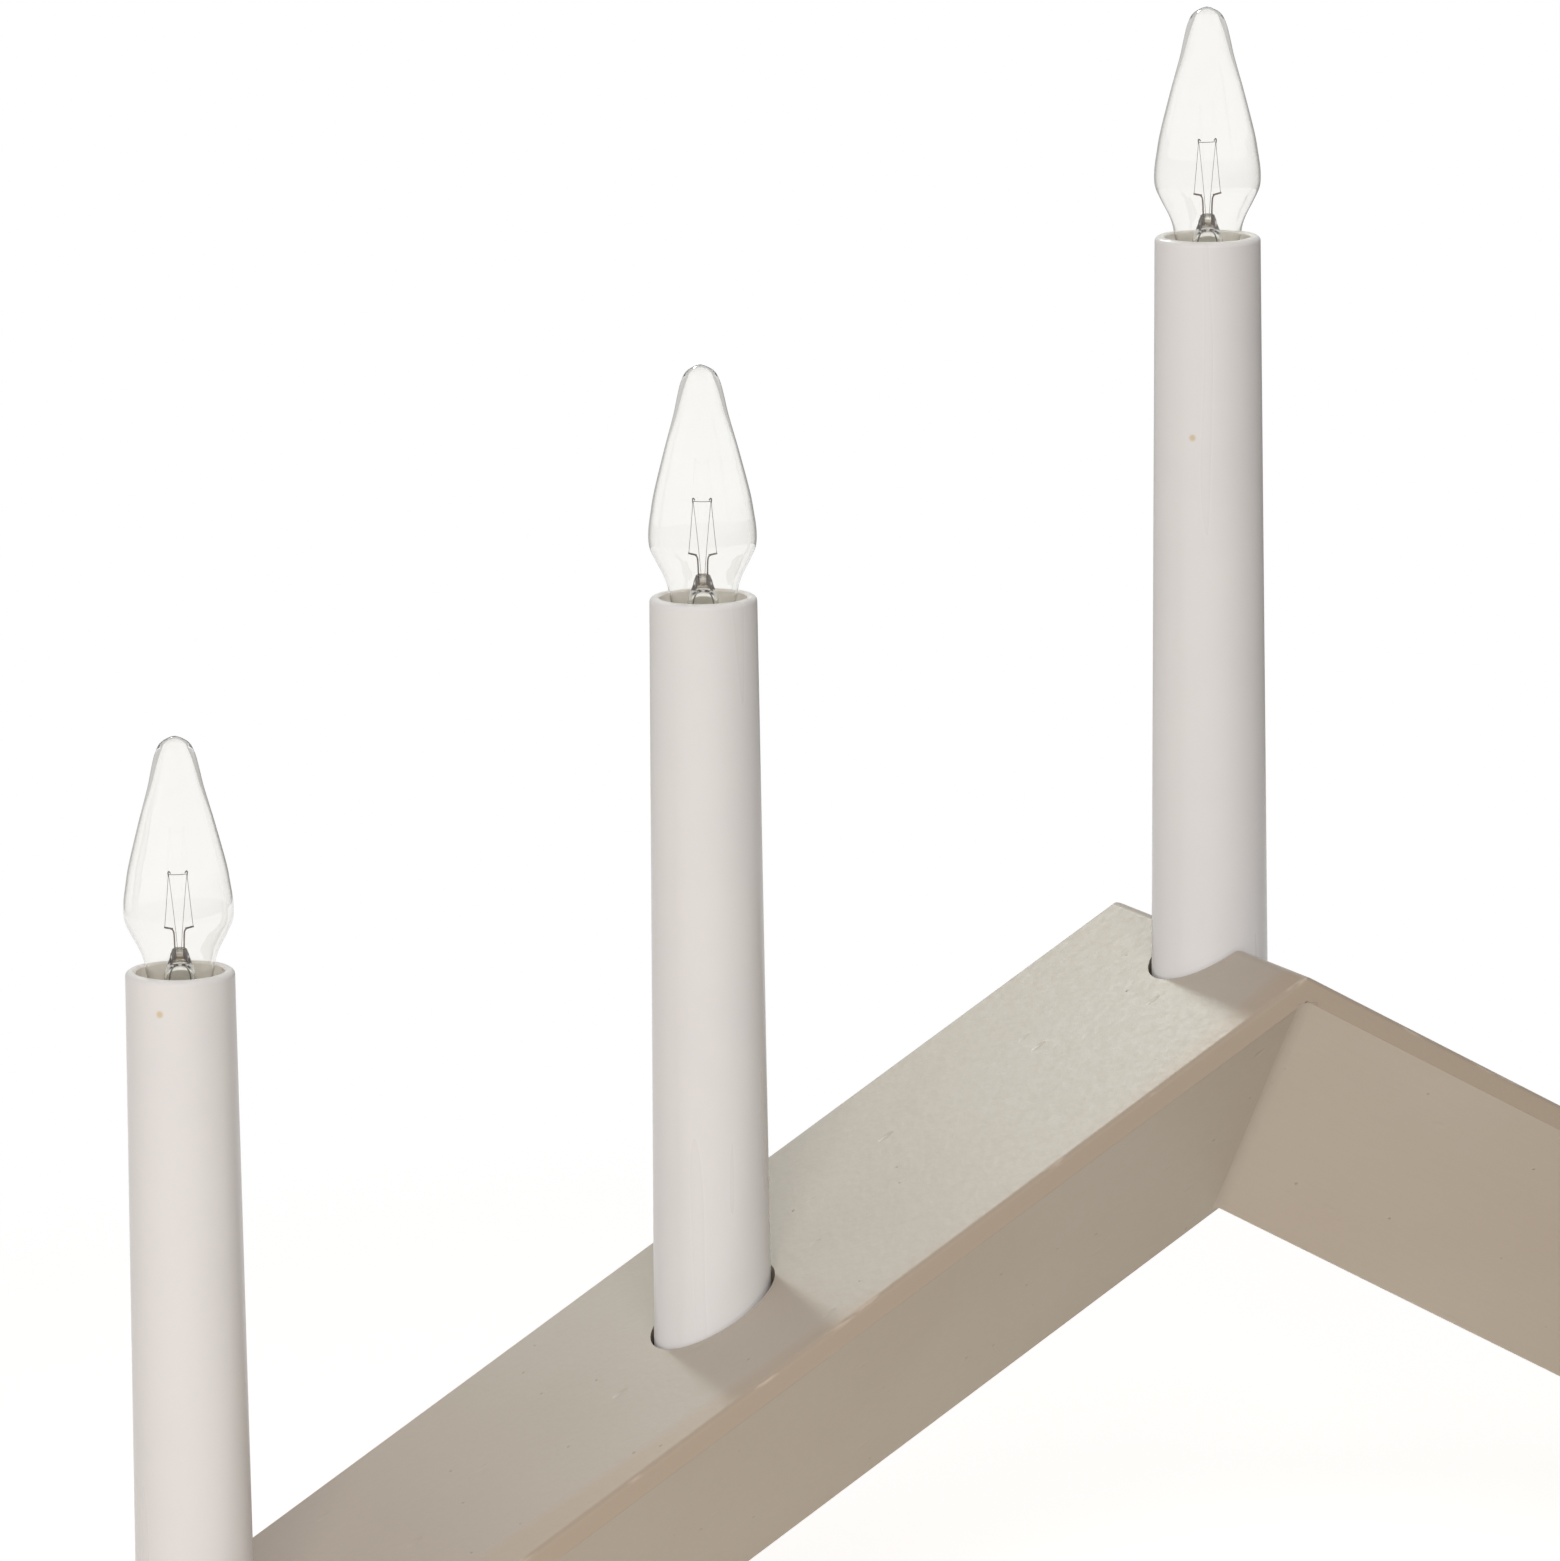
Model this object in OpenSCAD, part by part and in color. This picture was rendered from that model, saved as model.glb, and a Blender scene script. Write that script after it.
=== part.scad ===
// Electric candelabra: two hollow lacquered arms in an inverted V, five candle tubes
// and five screw-in candle bulbs. Millimetres, +Z up, front towards -Y.
// The origin is on the table, below the middle of the ridge.

/* [Arms] */
// Slope of the arms, in degrees
arm_slope = 29.5; // [26:0.5:32]
// Width of the top boards, front to back
board_w = 74; // [72:1:90]
// Thickness of the top boards
board_t = 3.9; // [3:0.1:5]
// Depth of an arm, straight down from its top face to its keel
arm_drop = 49.5; // [48.5:0.5:60]
// Thickness of the side panels
panel_t = 3; // [2:0.1:4]
// Width of the keel's flat underside
keel_w = 7.2; // [6:0.1:10]
// Height of the keel rail inside the arm
keel_h = 7; // [5.5:0.1:7.5]
// Radius over the ridge
ridge_round = 2.5; // [1:0.1:4]
// Radius along the edges of the top boards
board_edge = 0.9; // [0.2:0.1:1.2]

/* [Candles] */
// Distance from candle to candle, level
candle_gap = 100; // [70:1:140]
// Height of the candle tubes above the boards
candle_h = 128; // [60:1:170]
// Outer diameter of a tube at its rim
tube_top_d = 18.9; // [18.6:0.1:21]
// Outer diameter of a tube at its foot
tube_foot_d = 21.3; // [20.5:0.1:22.5]
// Bore of a tube at its rim
tube_bore_d = 15.4; // [15.2:0.1:15.8]
// Wall of a tube at its foot
tube_wall = 1.9; // [1.2:0.1:2.2]
// Radius over the rim of a tube
rim_round = 0.9; // [0.3:0.1:1.2]
// Gap around a tube's foot in the board's hole
hole_gap = 0.5; // [0.3:0.05:1.2]

/* [Cups] */
// How deep a tube stands in its cup, below the board's top face
tube_seat = 24; // [20:0.5:25]
// Gap between a tube's foot and its cup
cup_gap = 0.15; // [0.1:0.05:0.3]
// Wall of a cup
cup_wall = 1.7; // [1:0.1:2]
// Floor of a cup
cup_floor = 2.5; // [1.5:0.1:3]
// Flange that glues a cup to the board: its radius
flange_r = 17; // [15:0.5:20]
// Thickness of the flange
flange_t = 2.5; // [1.5:0.1:3]
// Hole in a cup's floor for the wires, radius
cup_hole_r = 6.5; // [6.2:0.1:7.5]

/* [Feet] */
// Thickness of the felt pads
pad_t = 1.5; // [1:0.1:3]
// Radius of the felt pads
pad_r = 6; // [4:0.5:8]
// Thickness of the foot covers
cover_t = 3; // [2.5:0.1:4]
// Room for wires between the outer cups and the foot covers
wire_room = 5.8; // [5:0.1:12]
// Length of the cover screws
screw_l = 11; // [8:0.5:11]
// Radius of the screws' shank
screw_r = 1.6; // [1.2:0.1:1.8]
// Radius of the screws' heads
head_r = 3; // [2.6:0.1:3.6]

/* [Bulbs] */
// Height of a bulb's glass above the tube's rim
bulb_h = 41; // [36:0.5:50]
// Widest diameter of a bulb
bulb_d = 18.9; // [16:0.1:20]
// Wall of the glass
glass_t = 0.6; // [0.4:0.05:0.8]
// Radius of the glass stem inside a bulb
stem_r = 1.75; // [1.5:0.05:2]
// Height of the stem above the tube's rim
stem_h = 4; // [3:0.1:6]
// Pitch of the screw thread
thread_pitch = 1.814; // [1.6:0.001:2]
// Mean radius of the bulb's thread
thread_r = 4.51; // [4.4:0.01:4.6]
// Half the depth of the thread
thread_depth = 0.25; // [0.15:0.01:0.3]
// Gap between the threads of cap and shell
thread_gap = 0.18; // [0.16:0.01:0.22]

/* [Sockets] */
// Depth of a socket's mouth below the tube's rim
mouth_drop = 3.2; // [2.5:0.1:3.5]
// Depth of the ledge that the socket stands on, below the rim
ledge_drop = 27; // [25:0.5:34]
// Width of that ledge
ledge_w = 1.7; // [1.3:0.1:2]
// Thickness of that ledge
ledge_t = 2.5; // [1.5:0.1:4]
// Gap between the socket and the tube's bore
socket_gap = 0.15; // [0.1:0.05:0.3]
// Outer radius of the threaded shell
shell_r = 5.5; // [5.4:0.05:5.8]
// Depth of the socket's floor below the rim
floor_drop = 16; // [15.7:0.1:18]
// Thickness of the socket's floor
floor_t = 3; // [2:0.1:4]

/* [Wiring] */
// Radius of an insulated wire
wire_r = 0.9; // [0.6:0.05:1.1]
// Distance of a wire from its candle's axis
wire_side = 3.2; // [2.6:0.1:3.6]
// Distance of the feed wires from the middle of the arms
feed_side = 4; // [3:0.1:4.2]
// Radius of the bends in the wires
wire_bend = 3; // [2:0.5:4]
// Length of the terminal block
block_l = 15; // [12:0.5:18]
// Width of the terminal block
block_w = 16; // [14:0.5:20]
// Height of the terminal block
block_h = 9; // [7:0.5:10]
// Radius of the cord's hole in the grommet
cord_r = 2.6; // [2.2:0.1:3]
// Wall of the grommet
grommet_wall = 1.4; // [1:0.1:1.8]
// Thickness of the grommet's flanges
grommet_flange = 1.3; // [1:0.1:2]

/* [Hidden] */
$fn = 64;

// Candles, counted from the left
middle_candle = 3;
last_candle = 5;

// How far a cut runs past what it cuts
overrun = 1;

// Slope, heights and lengths of the arms
run_fall = tan(arm_slope);
slope_cos = cos(arm_slope);
slope_sin = sin(arm_slope);
floor_z = pad_t + cover_t;
outer_x = (last_candle - middle_candle) * candle_gap;
ridge_h = floor_z + wire_room + cup_floor + tube_seat + outer_x * run_fall;
arm_len = ridge_h / slope_sin;
board_fall = board_t / slope_cos;

// Cross-section of an arm: y across, n square to the top face
half_w = board_w / 2;
half_k = keel_w / 2;
keel_n = -arm_drop * slope_cos;
side_run = half_w - half_k;
side_fall = -board_t - keel_n;
side_slant = norm([side_run, side_fall]);
panel_w = panel_t * side_slant / side_fall;
edge_steps = 5;
ridge_steps = 6;

// Ends of the arms: where the top face and the hollow meet a level
function top_x(z) = (ridge_h - z) / run_fall;
block_gap = 3;
foot_block_x = outer_x + flange_r + block_gap;

// Screws of the foot covers
screw_inset = 8;
screw_x = foot_block_x + screw_inset;
screw_y = 14;
screw_gap = 0.1;
slot_w = 0.8;
slot_depth = 0.8;

// Candle tubes and cups
top_r = tube_top_d / 2;
foot_r = tube_foot_d / 2;
bore_r = tube_bore_d / 2;
tube_len = candle_h + tube_seat;
hole_r = foot_r + hole_gap;
cup_bore_r = foot_r + cup_gap;
cup_r = cup_bore_r + cup_wall;
cup_drop = tube_seat + cup_floor;
rim_chamfer = 0.3;
rim_steps = 4;

// Sockets, downwards from the tube's rim
socket_r = bore_r - socket_gap;
ledge_r = bore_r - ledge_w;
shell_seat_gap = 0.05;
shell_bore_r = shell_r + shell_seat_gap;
shell_top = -6.3;
shell_foot = -13;
skirt_wall = 1.2;
mouth_chamfer = 0.4;
tongue_gap = 0.1;
tongue_t = 0.4;
tongue_w = 3;
tongue_out = 5;
tongue_in = 1.8;

// Bulbs, from the tube's rim
cap_top = -4;
cap_collar = -6;
cap_foot = -11.6;
cap_bore_gap = 0.1;
cap_overlap = 0.4;
collar_r = 4.9;
insulator_top_r = 3.6;
insulator_foot_r = 2.2;
insulator_foot = -13.1;
tip_r = 1.6;
tip_foot = -14;
neck_top = -3.7;
neck_foot = -5.5;
neck_r = 4.16;
flare_foot_r = 2.6;
flare_neck_r = 1.6;
flare_neck = 0;
flare_closed = 0.7;
flare_out_r = 3;
flare_out = -3.5;
stem_foot = 1.3;
thread_sides = 12;
thread_rings = 6;
shell_thread_r = (thread_r + thread_gap) / cos(180 / thread_sides);
bulb_smooth = 3;

// Outline of a bulb, top to bottom: [share of bulb_h above the rim, share of its radius]
bulb_shares = [
    [1, 0], [0.995, 0.085], [0.985, 0.175], [0.973, 0.25], [0.954, 0.312], [0.915, 0.381],
    [0.854, 0.444], [0.788, 0.506], [0.7, 0.61], [0.622, 0.703], [0.454, 0.887], [0.366, 0.955],
    [0.288, 1], [0.22, 0.99], [0.163, 0.887], [0.095, 0.735], [0.046, 0.659], [0, 0.628],
    [-0.049, 0.57]
];

// Lead wires, support wires and filament of a bulb, from the tube's rim
lead_r = 0.25;
lead_side = 0.9;
lead_bend = 6.6;
lead_end = [1.75, 7.4];
lead_bar = 0.75;
support_r = 0.15;
support_side = 0.35;
support_end = [1.55, 17];
filament_r = 0.12;

// Turn of each bulb as it came to rest in its socket, in degrees
bulb_turns = [-18, -30, -12, 40, 5];

// Wiring: routes between the candles
wire_sides = 6;
wire_end_gap = 0.3;
wire_bend_share = 0.2;
wire_drop = cup_drop + wire_room / 2;
wire_out = cup_r + wire_r + wire_bend_share * wire_bend;
wire_top = -floor_drop - floor_t - wire_end_gap;
feed_drop = wire_drop + wire_out * run_fall;
block_station = 174;
block_wire_n = -board_t - block_h / 2;
terminal_r = 1.6;
terminal_depth = 3;
cord_station = 176;
grommet_gap = 0.1;
flange_over = 1.5;

// Colours
lacquer = [0.72, 0.67, 0.6];
edge_lacquer = [0.66, 0.6, 0.52];
inner_wood = [0.8, 0.7, 0.52];
candle_white = [0.87, 0.85, 0.82];
socket_beige = [0.8, 0.75, 0.66];
brass = [0.8, 0.65, 0.35];
nickel = [0.7, 0.7, 0.7];
glass = [0.9, 0.93, 0.92, 0.4];
felt = [0.3, 0.3, 0.3];
wire_white = [0.9, 0.9, 0.88];

// Places along the V
function candle_x(i) = (i - middle_candle) * candle_gap;
function surface_z(x) = ridge_h - abs(x) * run_fall;
function rim_z(i) = surface_z(candle_x(i)) + candle_h;

// Points on an arc in steps
function arc(centre, r, from, to, steps) =
    [for (k = [0:steps]) let (a = from + (to - from) * k / steps) centre + r * [cos(a), sin(a)]];

// Outer and inner face of a side panel, in the cross-section
function outer_y(n) = half_k + side_run * (n - keel_n) / side_fall;
function inner_y(n) = outer_y(n) - panel_w;
function mirrored(points) = concat(points, [for (k = [len(points) - 1:-1:0]) [-points[k].x, points[k].y]]);

board_outline = mirrored(concat(
    [[half_w, -board_t]], arc([half_w - board_edge, -board_edge], board_edge, 0, 90, edge_steps)
));
panel_outline = [
    [half_w, -board_t], [half_k, keel_n],
    [half_k, keel_n + panel_w * side_fall / side_run], [half_w - panel_w, -board_t]
];
rail_outline = mirrored([[half_k, keel_n], [half_k, keel_n + keel_h]]);
hollow_outline = mirrored([[inner_y(keel_n + keel_h), keel_n + keel_h], [half_w - panel_w, -board_t]]);
arm_outline = mirrored(concat(
    [[half_k, keel_n], [half_w, -board_t]],
    arc([half_w - board_edge, -board_edge], board_edge, 0, 90, edge_steps)
));

// The right arm's own frame: x across, y square to the top face, z down the slope
module in_arm() {
    translate([0, 0, ridge_h]) rotate([0, arm_slope, 0]) rotate([90, 0, 90]) children();
}

// An outline carried down the right arm, mitred at the ridge and cut level between two heights
module right_arm(outline, low = floor_z, from_x = 0) {
    intersection() {
        in_arm() translate([0, 0, -overrun]) linear_extrude(arm_len + 2 * overrun) polygon(outline);
        translate([from_x, -board_w, low]) cube([arm_len, 2 * board_w, ridge_h]);
    }
}

module on_side(side) {
    if (side == "left") mirror([1, 0, 0]) children();
    else children();
}

// The layer between two depths under the top faces, in one piece over both arms
module v_layer(from_fall, to_fall) {
    far = arm_len;
    translate([0, half_w, ridge_h]) rotate([90, 0, 0]) linear_extrude(board_w)
        polygon([
            [-far, -far * run_fall - from_fall], [0, -from_fall], [far, -far * run_fall - from_fall],
            [far, -far * run_fall - to_fall], [0, -to_fall], [-far, -far * run_fall - to_fall]
        ]);
}

// What rounds the ridge
module ridge_cut() {
    centre = [0, -ridge_round / slope_cos];
    bow = arc(centre, ridge_round, 90 - arm_slope, 90 + arm_slope, ridge_steps);
    side_x = bow[0].x;
    translate([0, half_w + overrun, ridge_h]) rotate([90, 0, 0]) linear_extrude(board_w + 2 * overrun)
        polygon(concat(bow, [[-side_x, overrun], [side_x, overrun]]));
}

module top_board(side) {
    color(lacquer) on_side(side) difference() {
        right_arm(board_outline);
        ridge_cut();
        for (i = [middle_candle:last_candle]) let (x = candle_x(i))
            translate([x, 0, surface_z(x) - 2 * board_fall - hole_r])
                cylinder(h = 4 * board_fall + 2 * hole_r, r = hole_r);
    }
}

module front_panel(side) {
    color(lacquer) on_side(side) mirror([0, 1, 0]) right_arm(panel_outline);
}

// The grommet's own frame: z out of the back panel, from its outer face
module at_grommet() {
    middle = [half_k + side_run / 2, keel_n + side_fall / 2];
    in_arm() translate([middle.x, middle.y, cord_station])
        rotate([0, 0, -atan2(side_run, side_fall)]) rotate([0, 90, 0]) children();
}

module back_panel(side) {
    color(lacquer) on_side(side) difference() {
        right_arm(panel_outline);
        if (side == "right") at_grommet() translate([0, 0, -panel_t - overrun])
            cylinder(h = panel_t + 2 * overrun, r = cord_r + grommet_wall + grommet_gap);
    }
}

module keel_rail(side) {
    color(edge_lacquer) on_side(side) right_arm(rail_outline);
}

module foot_block(side) {
    color(inner_wood) on_side(side) difference() {
        right_arm(hollow_outline, from_x = foot_block_x);
        for (s = [-1, 1]) translate([screw_x, s * screw_y, floor_z - overrun])
            cylinder(h = pad_t + screw_l + screw_gap - floor_z + overrun, r = screw_r + screw_gap);
    }
}

// A countersunk screw from the cover's underside, or the hole for it
module screw_form(gap) {
    head_h = head_r - screw_r;
    cylinder(h = head_h, r1 = head_r + gap, r2 = screw_r + gap);
    cylinder(h = screw_l + gap, r = screw_r + gap);
}

module foot_cover(side) {
    color(lacquer) on_side(side) difference() {
        intersection() {
            right_arm(arm_outline, low = pad_t);
            translate([0, -board_w, pad_t]) cube([arm_len, 2 * board_w, cover_t]);
        }
        for (s = [-1, 1]) translate([screw_x, s * screw_y, pad_t]) screw_form(screw_gap);
    }
}

module cover_screws() {
    color(nickel) for (side = [-1, 1], s = [-1, 1])
        translate([side * screw_x, s * screw_y, pad_t]) difference() {
            screw_form(0);
            translate([-head_r, -slot_w / 2, -overrun]) cube([2 * head_r, slot_w, slot_depth + overrun]);
        }
}

module felt_pads() {
    pad_inset = 2.5;
    outer_pad_x = top_x(pad_t) - pad_inset - pad_r - pad_r * slope_cos;
    inner_pad_x = (ridge_h - arm_drop) / run_fall + 2 * pad_r;
    color(felt) for (side = [-1, 1]) {
        for (s = [-1, 1]) translate([side * outer_pad_x, s * (half_w - 2 * pad_r), 0])
            cylinder(h = pad_t, r = pad_r);
        translate([side * inner_pad_x, 0, 0]) cylinder(h = pad_t, r = pad_r);
    }
}

module candle_cup(i) {
    x = candle_x(i);
    foot_z = surface_z(x) - cup_drop;
    color(candle_white) difference() {
        union() {
            intersection() {
                translate([x, 0, foot_z]) cylinder(h = cup_drop, r = cup_r);
                v_layer(board_fall, arm_drop);
            }
            intersection() {
                translate([x, 0, foot_z]) cylinder(h = cup_drop, r = flange_r);
                v_layer(board_fall, board_fall + flange_t / slope_cos);
            }
        }
        translate([x, 0, foot_z + cup_floor]) cylinder(h = cup_drop, r = cup_bore_r);
        translate([x, 0, foot_z - overrun]) cylinder(h = cup_drop, r = cup_hole_r);
    }
}

// What follows stands on a candle's axis, with its zero height at the tube's rim
module at_rim(i) {
    translate([candle_x(i), 0, rim_z(i)]) children();
}

function tube_r(z) = top_r - (foot_r - top_r) * z / tube_len;

module candle_tube(i) {
    under_ledge = -ledge_drop - ledge_t;
    wall_top_r = tube_r(under_ledge) - tube_wall;
    rim_r = tube_r(-rim_round);
    color(candle_white) at_rim(i) rotate_extrude() polygon(concat(
        [[foot_r - tube_wall, -tube_len], [foot_r, -tube_len]],
        arc([rim_r - rim_round, -rim_round], rim_round, 0, 90, rim_steps),
        [
            [bore_r + rim_chamfer, 0], [bore_r, -rim_chamfer], [bore_r, -ledge_drop],
            [ledge_r, -ledge_drop], [ledge_r, under_ledge],
            [wall_top_r, under_ledge - (wall_top_r - ledge_r)]
        ]
    ));
}

module socket_body(i) {
    color(socket_beige) at_rim(i) rotate_extrude() polygon([
        [0, -floor_drop], [shell_bore_r, -floor_drop], [shell_bore_r, -mouth_drop],
        [socket_r - mouth_chamfer, -mouth_drop], [socket_r, -mouth_drop - mouth_chamfer],
        [socket_r, -ledge_drop], [socket_r - skirt_wall, -ledge_drop],
        [socket_r - skirt_wall, -floor_drop - floor_t], [0, -floor_drop - floor_t]
    ]);
}

// A round-crested screw thread: the crest climbs one pitch a turn
function thread_radius(mean, turn, z) = mean + thread_depth * cos(turn - 360 * z / thread_pitch);

module thread_form(mean, from_z, to_z) {
    rings = ceil((to_z - from_z) * thread_rings / thread_pitch);
    count = thread_sides;
    points = [
        for (k = [0:rings], j = [0:count - 1])
            let (z = from_z + (to_z - from_z) * k / rings, turn = 360 * j / count)
            let (r = thread_radius(mean, turn, z))
            [r * cos(turn), r * sin(turn), z]
    ];
    walls = [
        for (k = [0:rings - 1], j = [0:count - 1])
            let (a = k * count + j, b = k * count + (j + 1) % count)
            each [[a, a + count, b], [b, a + count, b + count]]
    ];
    foot = [for (j = [0:count - 1]) j];
    top = [for (j = [count - 1:-1:0]) rings * count + j];
    polyhedron(points, concat([foot], walls, [top]));
}

module socket_shell(i) {
    color(brass) at_rim(i) difference() {
        translate([0, 0, shell_foot]) cylinder(h = shell_top - shell_foot, r = shell_r);
        thread_form(shell_thread_r, shell_foot - overrun, shell_top + overrun);
    }
}

// A bent brass strip: its foot on the socket's floor, its free end under the bulb's tip
module contact_tongue(i) {
    foot_z = -floor_drop + tongue_gap;
    top_z = tip_foot - tongue_gap;
    color(brass) at_rim(i) translate([0, tongue_w / 2, 0]) rotate([90, 0, 0]) linear_extrude(tongue_w)
        polygon([
            [tongue_out, foot_z], [tongue_out, foot_z + tongue_t], [tongue_in, foot_z + tongue_t],
            [tip_r / 2, top_z], [-tip_r, top_z], [-tip_r, top_z - tongue_t],
            [tip_r / 2 - tongue_t, top_z - tongue_t], [tongue_in - tongue_t, foot_z]
        ]);
}

module bulb_cap(i) {
    bore = neck_r + cap_bore_gap;
    color(brass) at_rim(i) {
        difference() {
            union() {
                translate([0, 0, cap_collar]) cylinder(h = cap_top - cap_collar, r = collar_r);
                thread_form(thread_r, cap_foot, cap_collar + cap_overlap);
            }
            translate([0, 0, neck_foot - cap_bore_gap]) cylinder(h = -neck_foot, r = bore);
        }
        translate([0, 0, insulator_foot])
            cylinder(h = cap_foot - insulator_foot, r1 = insulator_foot_r, r2 = insulator_top_r);
        translate([0, 0, tip_foot]) cylinder(h = insulator_foot - tip_foot, r = tip_r);
    }
}

// A smooth curve through control points
function curve_point(a, b, c, d, t) =
    0.5 * (2 * b + (c - a) * t + (2 * a - 5 * b + 4 * c - d) * t * t + (3 * b - a - 3 * c + d) * t * t * t);
function smoothed(p, steps) = let (last = len(p) - 1) concat(
    [for (k = [0:last - 1], s = [0:steps - 1])
        curve_point(p[max(k - 1, 0)], p[k], p[k + 1], p[min(k + 2, last)], s / steps)],
    [p[last]]
);
// The same curve moved inwards by a wall
function moved_in(p, wall) = [
    for (k = [0:len(p) - 1])
        let (d = p[min(k + 1, len(p) - 1)] - p[max(k - 1, 0)], n = [-d.y, d.x] / norm(d))
        [max(p[k].x - wall * abs(n.x), 0), p[k].y - wall * n.y * sign(n.x)]
];

bulb_outline = smoothed(
    concat([for (s = bulb_shares) [s.y * bulb_d / 2, s.x * bulb_h]], [[neck_r, neck_top]]), bulb_smooth
);

module bulb_glass(i) {
    last = len(bulb_outline) - 1;
    inside = moved_in(bulb_outline, glass_t);
    color(glass) at_rim(i) rotate_extrude() polygon(concat(
        bulb_outline,
        [
            [neck_r, neck_foot], [flare_foot_r, neck_foot], [flare_neck_r, flare_neck],
            [0, flare_closed], [0, stem_h], [stem_r, stem_h], [stem_r, stem_foot],
            [flare_out_r, flare_out]
        ],
        [for (k = [last:-1:1]) inside[k]],
        [[0, bulb_h - glass_t]]
    ));
}

// A straight wire between two points of the bulb's own plane
module rod(from, to, r) {
    d = to - from;
    translate([from.x, 0, from.y]) rotate([0, atan2(d.x, d.y), 0]) cylinder(h = norm(d), r = r, $fn = 16);
}

module bulb_filament(i) {
    color(nickel) at_rim(i) rotate([0, 0, bulb_turns[i - 1]]) {
        for (s = [-1, 1]) {
            hook = [s * lead_end.x, lead_end.y];
            top = [s * support_end.x, support_end.y];
            rod([s * lead_side, stem_h], [s * lead_side, lead_bend + lead_r], lead_r);
            rod([s * lead_side, lead_bend], hook, lead_r);
            rod(hook - [s * lead_bar, 0], hook + [s * lead_bar, 0], lead_r);
            rod([s * support_side, stem_h], top, support_r);
            rod(hook, top, filament_r);
        }
        rod([-support_end.x, support_end.y], support_end, filament_r);
    }
}

// A round bend at each inner point of a route
function unit(v) = v / norm(v);
function bend_at(a, p, b) =
    let (s = p + unit(a - p) * wire_bend, e = p + unit(b - p) * wire_bend)
    [for (k = [0:3]) let (t = k / 3) (1 - t) * (1 - t) * s + 2 * t * (1 - t) * p + t * t * e];
function bent(p) = concat(
    [p[0]], [for (k = [1:len(p) - 2]) each bend_at(p[k - 1], p[k], p[k + 1])], [p[len(p) - 1]]
);

// A wire along a route in an upright plane: route points are [x, z]
module wire(route, y) {
    path = bent(route);
    last = len(path) - 1;
    count = wire_sides;
    points = [
        for (k = [0:last]) let (
            before = unit(path[max(k, 1)] - path[max(k, 1) - 1]),
            after = unit(path[min(k, last - 1) + 1] - path[min(k, last - 1)]),
            along = unit(before + after)
        ) for (j = [0:count - 1]) let (
            a = 360 * j / count, across = wire_r * cos(a) / (along * after), out = wire_r * sin(a)
        ) [path[k].x - along.y * across, y + out, path[k].y + along.x * across]
    ];
    walls = [
        for (k = [0:last - 1], j = [0:count - 1])
            let (a = k * count + j, b = k * count + (j + 1) % count)
            each [[a, a + count, b], [b, a + count, b + count]]
    ];
    foot = [for (j = [0:count - 1]) j];
    top = [for (j = [count - 1:-1:0]) last * count + j];
    polyhedron(points, concat([foot], walls, [top]));
}

// Where a wire leaves a candle: up in the tube, then out under the cup to one side
function wire_leave(i, side) = let (x = candle_x(i), z = surface_z(x) - wire_drop) [
    [x + side * wire_side, rim_z(i) + wire_top], [x + side * wire_side, z], [x + side * wire_out, z]
];
function reversed(p) = [for (k = [len(p) - 1:-1:0]) p[k]];

module link_wires() {
    color(wire_white) for (i = [1:last_candle - 1])
        wire(concat(wire_leave(i, 1), reversed(wire_leave(i + 1, -1))), 0);
}

// Places on the right arm from its own station and height, as [x, z]
function arm_place(station, n) = [
    station * slope_cos + n * slope_sin, ridge_h - station * slope_sin + n * slope_cos
];

module feed_wires() {
    lead_in = 2 * wire_bend;
    up_face = block_station - block_l / 2 - wire_end_gap;
    down_face = block_station + block_l / 2 + wire_end_gap;
    start = candle_x(1);
    start_z = surface_z(start) - wire_drop;
    clear_x = outer_x - candle_gap + flange_r;
    color(wire_white) {
        wire([
            [start - wire_side, rim_z(1) + wire_top], [start - wire_side, start_z],
            [start + wire_out, start_z], [0, ridge_h - feed_drop],
            [clear_x, surface_z(clear_x) - feed_drop],
            arm_place(up_face - lead_in, block_wire_n), arm_place(up_face, block_wire_n)
        ], -feed_side);
        wire([
            [outer_x + wire_side, rim_z(last_candle) + wire_top], [outer_x + wire_side, start_z],
            [outer_x - wire_out, start_z],
            arm_place(down_face + lead_in, block_wire_n), arm_place(down_face, block_wire_n)
        ], feed_side);
    }
}

module terminal_block() {
    color(socket_beige) in_arm() difference() {
        translate([-block_w / 2, -board_t - block_h, block_station - block_l / 2])
            cube([block_w, block_h, block_l]);
        for (s = [-1, 1], t = [-1, 1])
            translate([s * feed_side, -board_t - block_h - overrun, block_station + t * block_l / 4])
                rotate([-90, 0, 0]) cylinder(h = terminal_depth + overrun, r = terminal_r);
    }
}

module cord_grommet() {
    neck_r = cord_r + grommet_wall;
    color(felt) at_grommet() rotate_extrude() polygon([
        [cord_r, -panel_t - grommet_flange], [neck_r + flange_over, -panel_t - grommet_flange],
        [neck_r + flange_over, -panel_t], [neck_r, -panel_t], [neck_r, 0],
        [neck_r + flange_over, 0], [neck_r + flange_over, grommet_flange / 2],
        [neck_r + flange_over / 2, grommet_flange], [cord_r, grommet_flange]
    ]);
}

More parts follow.
